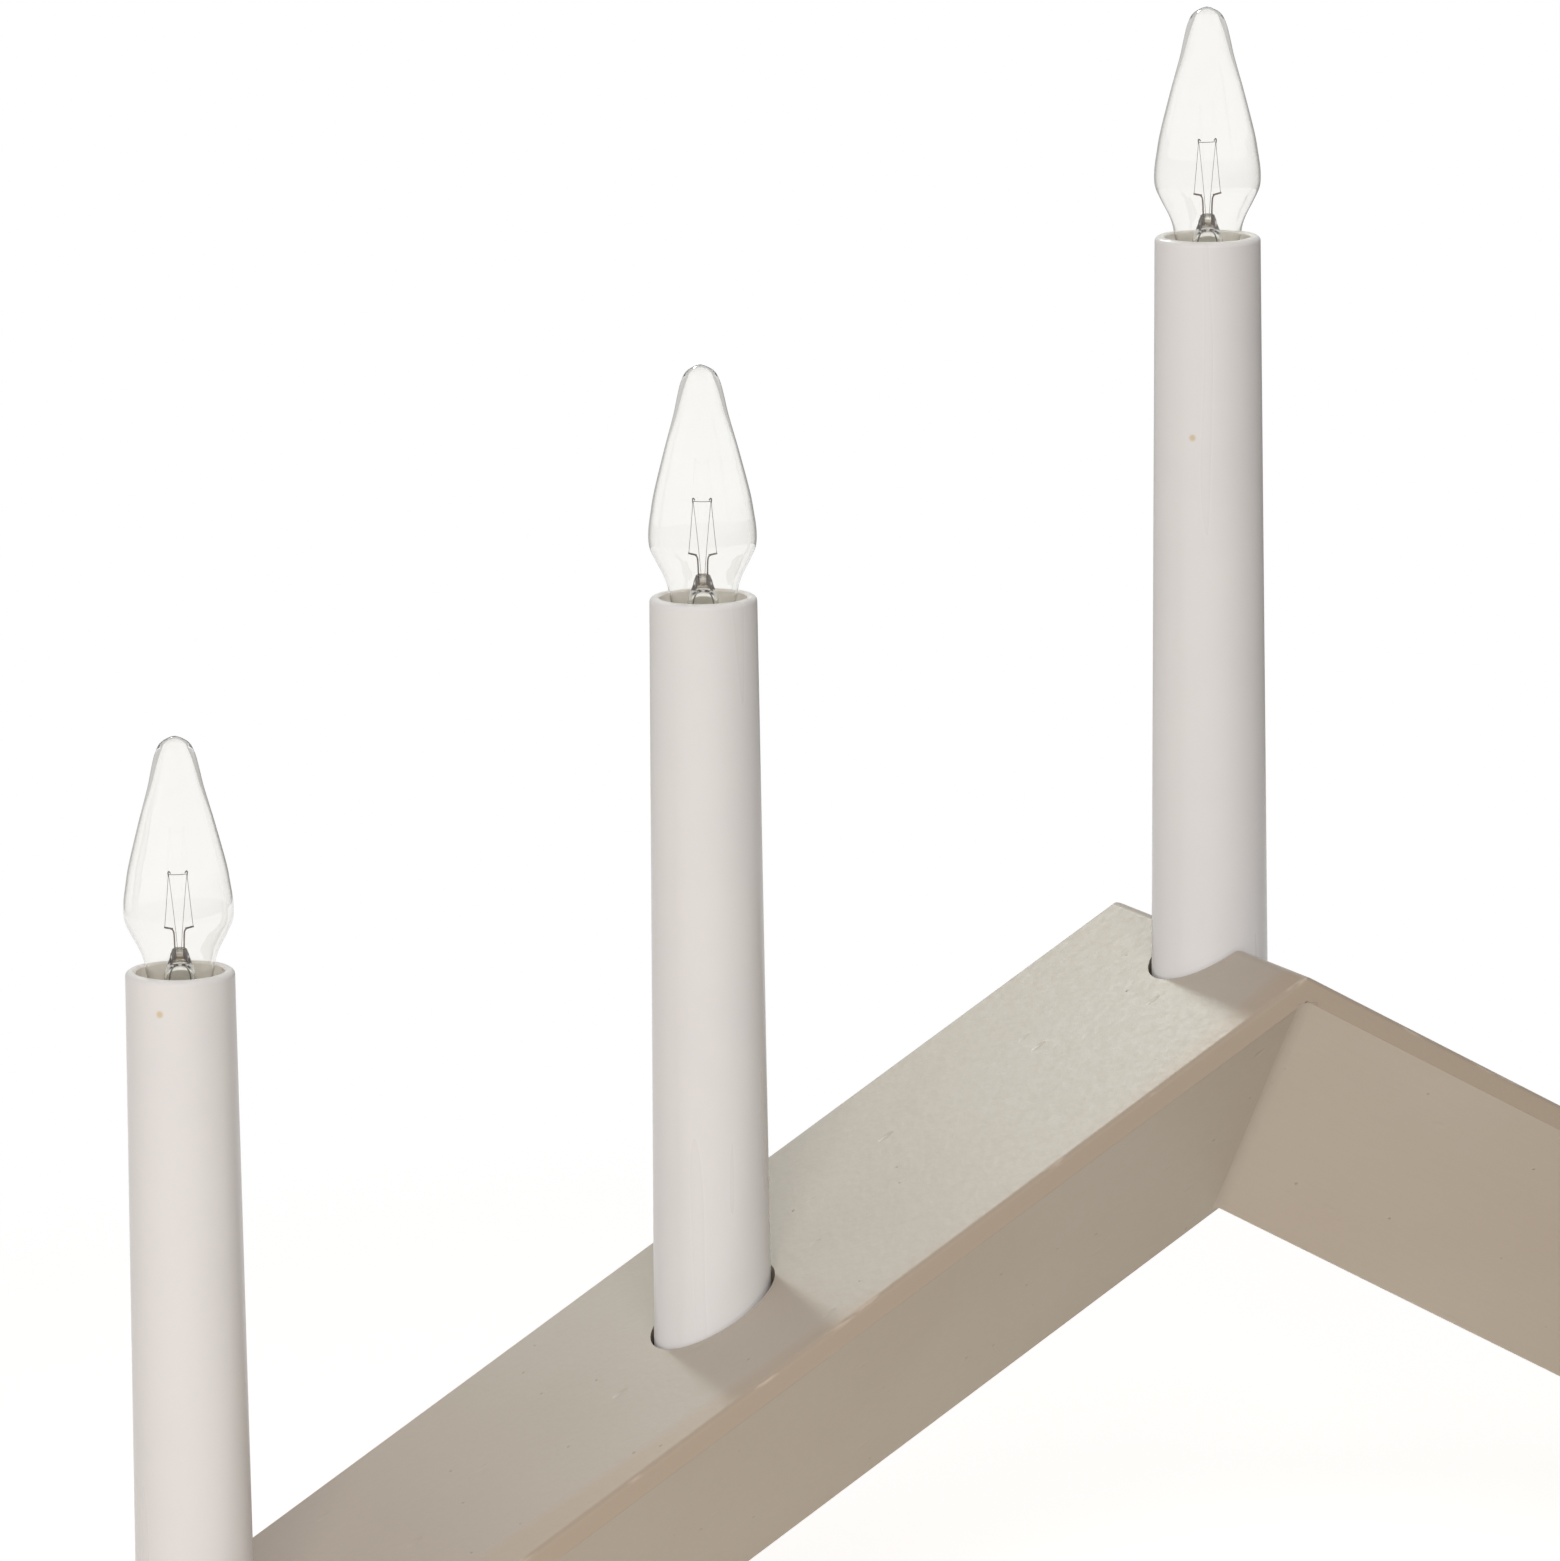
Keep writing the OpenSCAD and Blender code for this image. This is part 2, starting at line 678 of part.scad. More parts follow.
top_board("left");  // left_top_board
top_board("right");  // right_top_board
front_panel("left");  // left_front_panel
front_panel("right");  // right_front_panel
back_panel("left");  // left_back_panel
back_panel("right");  // right_back_panel
keel_rail("left");  // left_keel_rail
keel_rail("right");  // right_keel_rail
foot_block("left");  // left_foot_block
foot_block("right");  // right_foot_block
foot_cover("left");  // left_foot_cover
foot_cover("right");  // right_foot_cover
felt_pads();
cover_screws();
cord_grommet();
terminal_block();
link_wires();
feed_wires();
for (i = [1:last_candle]) {
    candle_cup(i);
    candle_tube(i);
    socket_body(i);
    socket_shell(i);
    contact_tongue(i);
    bulb_cap(i);
    bulb_glass(i);
    bulb_filament(i);
}
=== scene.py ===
"""Looks of the electric candelabra: lacquered arms, moulded candle tubes and clear blown bulbs.
Metres, in the CAD's frame: +Z up, front towards -Y, origin on the table below the middle of the ridge."""

import math

import bmesh
import bpy
from mathutils import Matrix, Vector


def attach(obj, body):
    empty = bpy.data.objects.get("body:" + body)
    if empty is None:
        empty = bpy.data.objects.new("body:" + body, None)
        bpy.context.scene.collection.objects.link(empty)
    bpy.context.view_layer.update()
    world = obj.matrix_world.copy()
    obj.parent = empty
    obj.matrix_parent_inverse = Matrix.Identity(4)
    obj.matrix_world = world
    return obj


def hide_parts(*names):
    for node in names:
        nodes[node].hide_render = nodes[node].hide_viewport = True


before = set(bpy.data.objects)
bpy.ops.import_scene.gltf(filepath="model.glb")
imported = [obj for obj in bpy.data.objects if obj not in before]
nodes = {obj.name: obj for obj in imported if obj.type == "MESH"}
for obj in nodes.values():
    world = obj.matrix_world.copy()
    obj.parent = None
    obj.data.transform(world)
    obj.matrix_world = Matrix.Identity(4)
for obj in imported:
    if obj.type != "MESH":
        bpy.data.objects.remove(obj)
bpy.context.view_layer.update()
scene = bpy.context.scene

MM = 0.001
CANDLES = range(1, 6)
MIDDLE_CANDLE = 3
SIDES = ("left", "right")

# Sizes in mm, as in the part's source
ARM_SLOPE = math.radians(29.5)
RIDGE_H = 149.955
BOARD_W = 74
BOARD_T = 3.9
ARM_DROP = 49.5
KEEL_W = 7.2
CANDLE_GAP = 100
CANDLE_H = 128
BULB_H = 41
BULB_D = 18.9

# Angle at which each half of the paint in a mitre rises from its fold
MITRE_DIP = math.radians(18.75)

# How far each bulb is screwed round, in degrees
BULB_TURNS = (-18, -30, -12, 40, 5)

# Yellow sink marks by candle, in mm: across and forward from its axis, and down from its rim
SINK_MARKS = {1: (-6.7, -6.85, 5.8), 3: (-6.9, -7, 35)}


def candle_x(i):
    return (i - MIDDLE_CANDLE) * CANDLE_GAP


def rim_z(i):
    """Height of a candle tube's rim."""
    return RIDGE_H - abs(candle_x(i)) * math.tan(ARM_SLOPE) + CANDLE_H


# Camera, where the photograph was taken from: a long lens, seen from the left and a little above

def place_camera():
    yaw, pitch, roll = (math.radians(a) for a in (25.27, 11.24, -0.67))
    focal_px, image_px, sensor = 9560.13, 1561, 36
    ahead = Vector((math.sin(yaw) * math.cos(pitch), math.cos(yaw) * math.cos(pitch), -math.sin(pitch)))
    level = Vector((math.cos(yaw), -math.sin(yaw), 0))
    upright = level.cross(ahead)
    across = math.cos(roll) * level + math.sin(roll) * upright
    up = math.cos(roll) * upright - math.sin(roll) * level
    bpy.ops.object.camera_add()
    camera = bpy.context.object
    camera.name = "studio_camera"
    camera.matrix_world = Matrix((across, up, -ahead)).transposed().to_4x4()
    camera.location = (-0.79174, -1.49596, 0.51583)
    camera.data.sensor_width = sensor
    camera.data.lens = focal_px / image_px * sensor
    camera.data.clip_start = 0.01
    camera.data.clip_end = 50
    scene.camera = camera


# Nodes and colours

def linear(code):
    """The colour that a socket takes for an sRGB hex value such as C8BFB0."""
    parts = [int(code[k:k + 2], 16) / 255 for k in (0, 2, 4)]
    return (*(c / 12.92 if c <= 0.04045 else ((c + 0.055) / 1.055) ** 2.4 for c in parts), 1)


def add_node(tree, kind, sockets=None, **settings):
    """Adds a node and gives its outputs. The settings are its own, and each socket gets a value, an sRGB hex
    value or the output that feeds it. A Mix of colours takes its share at 0 and its colours at 6 and 7, and
    its result is output 2."""
    made = tree.nodes.new("ShaderNode" + kind)
    for key, value in settings.items():
        setattr(made, key, value)
    for key, value in (sockets or {}).items():
        if isinstance(value, bpy.types.NodeSocket):
            tree.links.new(value, made.inputs[key])
        else:
            made.inputs[key].default_value = linear(value) if isinstance(value, str) else value
    return made.outputs


def new_finish(name, roughness=0.5, metallic=0.0, ior=1.5):
    """A material, its tree, its shader and the Object coordinates. Where the roughness varies, a pattern is
    linked to it afterwards."""
    material = bpy.data.materials.new(name)
    material.use_nodes = True
    tree = material.node_tree
    shader = tree.nodes["Principled BSDF"]
    shader.inputs["Roughness"].default_value = roughness
    shader.inputs["Metallic"].default_value = metallic
    shader.inputs["IOR"].default_value = ior
    return material, tree, shader, add_node(tree, "TexCoord")["Object"]


def grid(across_mm, along):
    """The Scale of coordinates in which one unit is across_mm, and along[k] times as long on axis k."""
    return [1 / (across_mm * MM * s) for s in along]


def rough_ground(tree, shader, heights):
    """Bump from several patterns: pairs of an output and the height in mm that its 0 to 1 stands for."""
    total = 0.0
    for output, height in heights:
        total = add_node(tree, "Math", {0: output, 1: height, 2: total}, operation="MULTIPLY_ADD")[0]
    bump = add_node(tree, "Bump", {"Strength": 1, "Distance": MM, "Height": total})[0]
    tree.links.new(bump, shader.inputs["Normal"])


# Materials. A pattern's Scale is one over its size in metres: 1 / (7 * MM) makes it 7 mm across.

def board_places(tree, down_arm):
    """Where the coat of a top board differs, as shares from 0 to 1: painted shade at its lower end and beside
    its front edge, its side edges with their own tone deepened by painted shade, painted shade on the
    rounding between side and top, and its upper corners, for wear with a painted highlight."""
    half_w, top = BOARD_W / 2, RIDGE_H * math.cos(ARM_SLOPE)
    under = top - BOARD_T
    axes = add_node(tree, "SeparateXYZ", {"Vector": down_arm})
    off_middle = add_node(tree, "Math", {0: axes["Y"]}, operation="ABSOLUTE")[0]
    off_ridge = add_node(tree, "Math", {0: axes["X"]}, operation="ABSOLUTE")[0]
    soft = 0.2
    on_board = add_node(tree, "MapRange", {
        "Value": axes["Z"], "From Min": (under - soft) * MM, "From Max": under * MM})[0]

    # Painted shade: the coat turns darker and warmer towards the lower end of each arm, where less light
    # falls
    low_from, low_full = 60, 110
    low = add_node(tree, "Math", {
        0: add_node(tree, "MapRange", {
            "Value": off_ridge, "From Min": low_from * MM, "From Max": low_full * MM})[0],
        1: on_board}, operation="MULTIPLY")[0]

    # Painted shade beside the front edge: it gets wider and stronger down the arm, and fades out inwards
    fade, spread = 4, 8
    start, widest, strongest = 20, 100, 90
    wider = add_node(tree, "MapRange", {
        "Value": off_ridge, "From Min": start * MM, "From Max": widest * MM, "To Max": spread * MM})[0]
    most = add_node(tree, "MapRange", {
        "Value": off_ridge, "From Min": start * MM, "From Max": strongest * MM,
        "To Min": 0.3, "To Max": 0.85})[0]
    from_edge = add_node(tree, "Math", {0: axes["Y"], 1: wider}, operation="SUBTRACT")[0]
    beside = add_node(tree, "Math", {
        0: add_node(tree, "MapRange", {
            "Value": from_edge, "From Min": (fade - half_w) * MM, "From Max": -half_w * MM,
            "To Max": most})[0],
        1: on_board}, operation="MULTIPLY")[0]

    # The side edges: their own slightly warmer tone, deepened with painted shade on the faces that stand
    # upright
    normal = add_node(tree, "SeparateXYZ", {"Vector": add_node(tree, "NewGeometry")["Normal"]})
    sideways = add_node(tree, "Math", {0: normal["Y"]}, operation="ABSOLUTE")[0]
    edge_on = add_node(tree, "Math", {
        0: add_node(tree, "MapRange", {"Value": sideways, "From Min": 0.2, "From Max": 0.6})[0],
        1: on_board}, operation="MULTIPLY")[0]
    # Painted shade on the rounding between side and top, which keeps it from showing as a light line
    rounding = add_node(tree, "Math", {
        0: edge_on,
        1: add_node(tree, "MapRange", {
            "Value": sideways, "From Min": 0.98, "From Max": 0.85, "To Max": 0.22})[0],
    }, operation="MULTIPLY")[0]

    # A corner starts this far in from side and top, and is full this near to them
    corner_w, full_side, full_top = 0.9, 0.2, 0.3
    corner = add_node(tree, "Math", {
        0: add_node(tree, "MapRange", {
            "Value": off_middle,
            "From Min": (half_w - corner_w) * MM, "From Max": (half_w - full_side) * MM})[0],
        1: add_node(tree, "MapRange", {
            "Value": axes["Z"], "From Min": (top - corner_w) * MM, "From Max": (top - full_top) * MM})[0],
    }, operation="MULTIPLY")[0]
    return low, beside, edge_on, rounding, corner


def sprayed_lacquer(name, slope, thin, thick):
    """Satin lacquer sprayed on sanded pine: an even greige coat with a soft sheen and slight orange peel,
    faint grain and sanding lines down the arm, and a few nibs and dents. Painted shade makes the lower ends
    and a band beside the front edge darker and warmer and dims the rounding of the corners, the side edges
    have their own warmer tone deepened by painted shade, and short bright spots of wear along the corners
    carry a painted highlight. The sanding lines are drawn coarser than real ones, so that they show."""
    material, tree, shader, place = new_finish(name)
    down_arm = add_node(tree, "Mapping", {"Vector": place, "Rotation": (0, slope, 0)})[0]
    lines = add_node(tree, "TexNoise", {
        "Vector": add_node(tree, "Mapping", {"Vector": down_arm, "Scale": grid(0.7, (14, 1, 1))})[0],
        "Scale": 1, "Detail": 3, "Roughness": 0.6})[0]
    grain = add_node(tree, "TexNoise", {
        "Vector": add_node(tree, "Mapping", {"Vector": down_arm, "Scale": grid(3.5, (22, 1, 1))})[0],
        "Scale": 1, "Detail": 4, "Distortion": 0.6})[0]
    peel = add_node(tree, "TexNoise", {"Vector": place, "Scale": 1 / (1.6 * MM), "Detail": 2})[0]
    drift = add_node(tree, "TexNoise", {"Vector": place, "Scale": 1 / (60 * MM), "Detail": 2})[0]
    nib_cells = add_node(tree, "TexVoronoi", {"Vector": place, "Scale": 1 / (7 * MM)})
    nibs = add_node(tree, "MapRange", {
        "Value": nib_cells["Distance"], "From Min": 0.055, "From Max": 0.02})[0]
    dent_cells = add_node(tree, "TexVoronoi", {
        "Vector": add_node(tree, "Mapping", {"Vector": down_arm, "Scale": grid(9, (2.2, 1, 1))})[0],
        "Scale": 1})
    dents = add_node(tree, "MapRange", {
        "Value": dent_cells["Distance"], "From Min": 0.09, "From Max": 0.03})[0]
    spot_noise = add_node(tree, "TexNoise", {
        "Vector": add_node(tree, "Mapping", {"Vector": down_arm, "Scale": grid(2.2, (4, 1, 1))})[0],
        "Scale": 1, "Detail": 3})[0]
    spots = add_node(tree, "MapRange", {"Value": spot_noise, "From Min": 0.6, "From Max": 0.72})[0]
    low, beside, edge_on, rounding, corner = board_places(tree, down_arm)
    # Bright spots along the upper corners: wear, lightened further as a painted highlight
    wear_and_glint = add_node(tree, "Math", {0: corner, 1: spots}, operation="MULTIPLY")[0]
    in_lines = add_node(tree, "MapRange", {
        "Value": lines, "From Min": 0.3, "From Max": 0.7, "To Max": 0.05})[0]
    in_nibs = add_node(tree, "MapRange", {"Value": nibs, "To Max": 0.4})[0]
    coat = add_node(tree, "Mix", {
        0: add_node(tree, "MapRange", {"Value": drift, "From Min": 0.35, "From Max": 0.65})[0],
        6: thin, 7: thick}, data_type="RGBA")[2]
    # Tints over the coat: sanding lines; painted shade at the lower ends, beside the front edge and on the
    # rounding; the side edges' own tone deepened by painted shade; wear brightened by a painted highlight;
    # nibs
    for share, tint in (
            (in_lines, "AAA293"), (low, "B5A99B"), (beside, "B8A893"), (edge_on, "B5AA9A"),
            (rounding, "8F8474"), (wear_and_glint, "D1C7B8"), (in_nibs, "8E8373")):
        coat = add_node(tree, "Mix", {0: share, 6: coat, 7: tint}, data_type="RGBA")[2]
    tree.links.new(coat, shader.inputs["Base Color"])
    sheen = add_node(tree, "MapRange", {
        "Value": peel, "From Min": 0.25, "From Max": 0.75, "To Min": 0.4, "To Max": 0.47})[0]
    tree.links.new(sheen, shader.inputs["Roughness"])
    rough_ground(tree, shader, [(lines, 0.004), (grain, 0.012), (peel, 0.042), (nibs, 0.11), (dents, -0.1)])
    return material


def moulded_candle(name, marks=()):
    """ABS moulded against a polished tool: smooth off-white with a soft sheen, faint flow lines from rim to
    foot, and small yellow sink marks at the given places."""
    material, tree, shader, place = new_finish(name, ior=1.53)
    flow = add_node(tree, "TexNoise", {
        "Vector": add_node(tree, "Mapping", {"Vector": place, "Scale": grid(6, (1, 1, 12))})[0],
        "Scale": 1, "Detail": 1})[0]
    cloud = add_node(tree, "TexNoise", {"Vector": place, "Scale": 1 / (18 * MM), "Detail": 2})[0]
    body = add_node(tree, "Mix", {
        0: add_node(tree, "MapRange", {"Value": cloud, "From Min": 0.3, "From Max": 0.7})[0],
        6: "E7EBEE", 7: "EAEEF0"}, data_type="RGBA")[2]
    for mark in marks:
        off = add_node(tree, "VectorMath", {0: place, 1: mark}, operation="DISTANCE")["Value"]
        in_mark = add_node(tree, "MapRange", {
            "Value": off, "From Min": 0.8 * MM, "From Max": 0.35 * MM, "To Max": 0.7})[0]
        body = add_node(tree, "Mix", {0: in_mark, 6: body, 7: "D2C08E"}, data_type="RGBA")[2]
    tree.links.new(body, shader.inputs["Base Color"])
    sheen = add_node(tree, "MapRange", {
        "Value": flow, "From Min": 0.3, "From Max": 0.7, "To Min": 0.27, "To Max": 0.34})[0]
    tree.links.new(sheen, shader.inputs["Roughness"])
    rough_ground(tree, shader, [(flow, 0.005), (cloud, 0.03)])
    shader.inputs["Subsurface Weight"].default_value = 0.06
    shader.inputs["Subsurface Radius"].default_value = (1.4 * MM, 1.2 * MM, MM)
    return material


def moulded_socket(name):
    """Polyamide, moulded: matt beige with a spark-eroded texture, drawn coarser than a real one so that it
    shows."""
    material, tree, shader, place = new_finish(name, 0.55, ior=1.53)
    pits = add_node(tree, "TexNoise", {"Vector": place, "Scale": 1 / (0.4 * MM), "Detail": 2})[0]
    body = add_node(tree, "Mix", {0: pits, 6: "BBAF97", 7: "C2B8A1"}, data_type="RGBA")[2]
    tree.links.new(body, shader.inputs["Base Color"])
    rough_ground(tree, shader, [(pits, 0.03)])
    return material


def drawn_metal(name, dark, light, roughness, scratch_mm=0.3):
    """Bright metal, stamped, rolled or drawn: slightly uneven tarnish and fine marks of the tool, which are
    drawn coarser than real ones so that they show."""
    material, tree, shader, place = new_finish(name, metallic=1.0)
    tarnish = add_node(tree, "TexNoise", {"Vector": place, "Scale": 1 / (3 * MM), "Detail": 4})[0]
    scratch = add_node(tree, "TexNoise", {
        "Vector": add_node(tree, "Mapping", {"Vector": place, "Scale": grid(scratch_mm, (1, 1, 6))})[0],
        "Scale": 1, "Detail": 2})[0]
    skin = add_node(tree, "Mix", {
        0: add_node(tree, "MapRange", {"Value": tarnish, "From Min": 0.35, "From Max": 0.65})[0],
        6: dark, 7: light}, data_type="RGBA")[2]
    tree.links.new(skin, shader.inputs["Base Color"])
    sheen = add_node(tree, "MapRange", {
        "Value": scratch, "From Min": 0.3, "From Max": 0.7,
        "To Min": roughness - 0.06, "To Max": roughness + 0.1})[0]
    tree.links.new(sheen, shader.inputs["Roughness"])
    rough_ground(tree, shader, [(scratch, 0.006)])
    return material


def blown_glass(name):
    """Soda-lime glass, blown: clear and glossy, with a barely uneven tint, and painted shade where it is seen
    edge on.
    """
    material, tree, shader, place = new_finish(name, 0.0, ior=1.52)
    wave = add_node(tree, "TexNoise", {"Vector": place, "Scale": 1 / (7 * MM), "Detail": 1})[0]
    # Painted shade: the glass is tinted dark where it is seen edge on, which draws its outline
    rim = add_node(tree, "MapRange", {
        "Value": add_node(tree, "LayerWeight", {"Blend": 0.5})["Facing"], "From Min": 0.72, "From Max": 1})[0]
    tint = add_node(tree, "Mix", {0: wave, 6: "FCFBF9", 7: "FDFDFB"}, data_type="RGBA")[2]
    tint = add_node(tree, "Mix", {0: rim, 6: tint, 7: "8E8B86"}, data_type="RGBA")[2]
    tree.links.new(tint, shader.inputs["Base Color"])
    shader.inputs["Transmission Weight"].default_value = 1.0
    # The lamps shine straight through it, so that the bore below gets their light
    shadow = add_node(tree, "LightPath")["Is Shadow Ray"]
    shone_through = add_node(tree, "BsdfTransparent", {"Color": "F4F4F3"})[0]
    both = add_node(tree, "MixShader", {0: shadow, 1: shader.outputs[0], 2: shone_through})[0]
    tree.links.new(both, tree.nodes["Material Output"].inputs["Surface"])
    return material


def sleeve_plastic(name):
    """PVC, extruded: smooth white with a waxy sheen and faint rings from the die."""
    material, tree, shader, place = new_finish(name, 0.42)
    rings = add_node(tree, "TexNoise", {"Vector": place, "Scale": 1 / (1.2 * MM), "Detail": 2})[0]
    body = add_node(tree, "Mix", {0: rings, 6: "E2DFD8", 7: "EAE7E1"}, data_type="RGBA")[2]
    tree.links.new(body, shader.inputs["Base Color"])
    rough_ground(tree, shader, [(rings, 0.01)])
    return material


def moulded_rubber(name):
    """Chloroprene rubber, moulded: warm grey, dull and faintly dusty."""
    material, tree, shader, place = new_finish(name, 0.65, ior=1.52)
    dust = add_node(tree, "TexNoise", {"Vector": place, "Scale": 1 / (0.8 * MM), "Detail": 3})[0]
    body = add_node(tree, "Mix", {
        0: add_node(tree, "MapRange", {"Value": dust, "From Min": 0.4, "From Max": 0.7})[0],
        6: "A79F93", 7: "B8B0A5"}, data_type="RGBA")[2]
    tree.links.new(body, shader.inputs["Base Color"])
    rough_ground(tree, shader, [(dust, 0.02)])
    return material


def pressed_felt(name):
    """Wool felt, pressed: matt grey with fibres lying every way, drawn thicker than real ones so that they
    show."""
    material, tree, shader, place = new_finish(name, 0.95)
    fibres = add_node(tree, "TexNoise", {
        "Vector": place, "Scale": 1 / (0.35 * MM), "Detail": 5, "Roughness": 0.75, "Distortion": 2})[0]
    body = add_node(tree, "Mix", {
        0: add_node(tree, "MapRange", {"Value": fibres, "From Min": 0.3, "From Max": 0.7})[0],
        6: "57534E", 7: "78736B"}, data_type="RGBA")[2]
    tree.links.new(body, shader.inputs["Base Color"])
    rough_ground(tree, shader, [(fibres, 0.25)])
    shader.inputs["Sheen Weight"].default_value = 0.3
    return material


def sawn_pine(name):
    """Pine, sawn: pale yellow wood with darker year rings and rough saw lines."""
    material, tree, shader, place = new_finish(name, 0.7)
    rings = add_node(tree, "TexWave", {
        "Vector": add_node(tree, "Mapping", {"Vector": place, "Scale": grid(3, (1, 1, 8))})[0],
        "Scale": 0.5, "Distortion": 3, "Detail": 3})[1]
    saw = add_node(tree, "TexNoise", {
        "Vector": add_node(tree, "Mapping", {"Vector": place, "Scale": grid(0.6, (6, 1, 1))})[0],
        "Scale": 1})[0]
    body = add_node(tree, "Mix", {0: rings, 6: "D8BE90", 7: "BF9C68"}, data_type="RGBA")[2]
    tree.links.new(body, shader.inputs["Base Color"])
    rough_ground(tree, shader, [(rings, 0.05), (saw, 0.08)])
    return material


def coat_in(piece, material):
    piece.data.materials.clear()
    piece.data.materials.append(material)


def in_finish(material, *names):
    """Gives CAD nodes a material in place of their plain one."""
    for name in names:
        coat_in(nodes[name], material)


# Modelling

def deselect_all():
    if bpy.context.mode != "OBJECT":
        bpy.ops.object.mode_set(mode="OBJECT")
    bpy.ops.object.select_all(action="DESELECT")


def turned(name, rings):
    """A form drawn out of one small circle, ring by ring: (half width, half depth, height) in mm. The points
    of an end ring that is small enough are merged, which closes the form there."""
    sides, merged_within = 144, 0.05
    deselect_all()
    wide, deep, height = rings[0]
    bpy.ops.mesh.primitive_circle_add(vertices=sides, radius=wide * MM, location=(0, 0, height * MM))
    piece = bpy.context.object
    piece.name = name
    bpy.ops.object.transform_apply(location=True, rotation=True, scale=True)
    bpy.ops.object.mode_set(mode="EDIT")
    bpy.ops.mesh.select_all(action="SELECT")
    for next_wide, next_deep, next_height in rings[1:]:
        bpy.ops.mesh.extrude_edges_move(
            TRANSFORM_OT_translate={"value": (0, 0, (next_height - height) * MM)})
        bpy.ops.transform.resize(
            value=(next_wide / wide, next_deep / deep, 1), center_override=(0, 0, next_height * MM))
        wide, deep, height = next_wide, next_deep, next_height
    bpy.ops.mesh.select_all(action="SELECT")
    bpy.ops.mesh.remove_doubles(threshold=merged_within * MM)
    bpy.ops.mesh.normals_make_consistent(inside=False)
    bpy.ops.object.mode_set(mode="OBJECT")
    return piece


def drawn_wire(name, points, radius, sides):
    """A round wire through points in mm, bent smoothly, as a mesh."""
    deselect_all()
    bpy.ops.curve.primitive_nurbs_path_add()
    wire = bpy.context.object
    wire.name = name
    wire.data.splines.clear()
    spline = wire.data.splines.new("NURBS")
    spline.points.add(len(points) - 1)
    for spot, p in zip(spline.points, points):
        spot.co = (p[0] * MM, p[1] * MM, p[2] * MM, 1)
    spline.use_endpoint_u = True
    spline.order_u = 3
    wire.data.resolution_u = 6
    wire.data.bevel_depth = radius * MM
    wire.data.bevel_resolution = sides // 2 - 2
    wire.data.use_fill_caps = True
    bpy.ops.object.convert(target="MESH")
    return bpy.context.object


def join_all(name, first, *others):
    deselect_all()
    for piece in (first, *others):
        piece.select_set(True)
    bpy.context.view_layer.objects.active = first
    bpy.ops.object.join()
    first.name = name
    return first


def copy_at(piece, name, place, turn):
    """A copy with its own mesh, turned on the upright axis and moved to its place."""
    deselect_all()
    piece.select_set(True)
    bpy.context.view_layer.objects.active = piece
    bpy.ops.object.duplicate(linked=False)
    twin = bpy.context.object
    twin.name = name
    twin.rotation_euler = (0, 0, math.radians(turn))
    twin.location = place
    bpy.ops.object.transform_apply(location=True, rotation=True, scale=True)
    return twin


def smoothed(points, steps):
    """A smooth curve through points, each span in steps."""
    curve = []
    last = len(points) - 1
    for k in range(last):
        a, b, c, d = (Vector(points[min(max(j, 0), last)]) for j in range(k - 1, k + 3))
        for s in range(steps):
            t = s / steps
            curve.append(0.5 * (2 * b + (c - a) * t + (2 * a - 5 * b + 4 * c - d) * t * t
                                + (3 * b - a - 3 * c + d) * t * t * t))
    return curve + [Vector(points[last])]


# A bulb, in mm from the middle of the tube's rim

# Its outline from tip to neck: (share of its height above the rim, share of its radius). The ring at the tip
# is too wide to be merged into one point, so a pinhole of less than 0.1 mm stays open there.
BULB_SHARES = (
    (1, 0.004), (0.995, 0.085), (0.985, 0.175), (0.973, 0.25), (0.954, 0.312), (0.915, 0.381), (0.854, 0.444),
    (0.788, 0.506), (0.7, 0.61), (0.622, 0.703), (0.454, 0.887), (0.366, 0.955), (0.288, 1), (0.22, 0.99),
    (0.163, 0.887), (0.095, 0.735), (0.046, 0.659), (0, 0.628), (-0.049, 0.57))
NECK_R, NECK_Z = 4.16, -3.7
NECK_FOOT_Z = -5.5
POINT_R = 0.02


def glass_wall(height):
    """Thickness of the glass: thin over the belly, gathered towards the tip and thinner again at its end."""
    belly, gathered, thinned = 0.22, 0.58, 0.3
    gather_from, gather_run = 28, 10
    thin_from, thin_run = 39, 1.6
    gather_share = min(max((height - gather_from) / gather_run, 0), 1)
    thin_share = min(max((height - thin_from) / thin_run, 0), 1)
    return belly + gathered * gather_share - thinned * thin_share


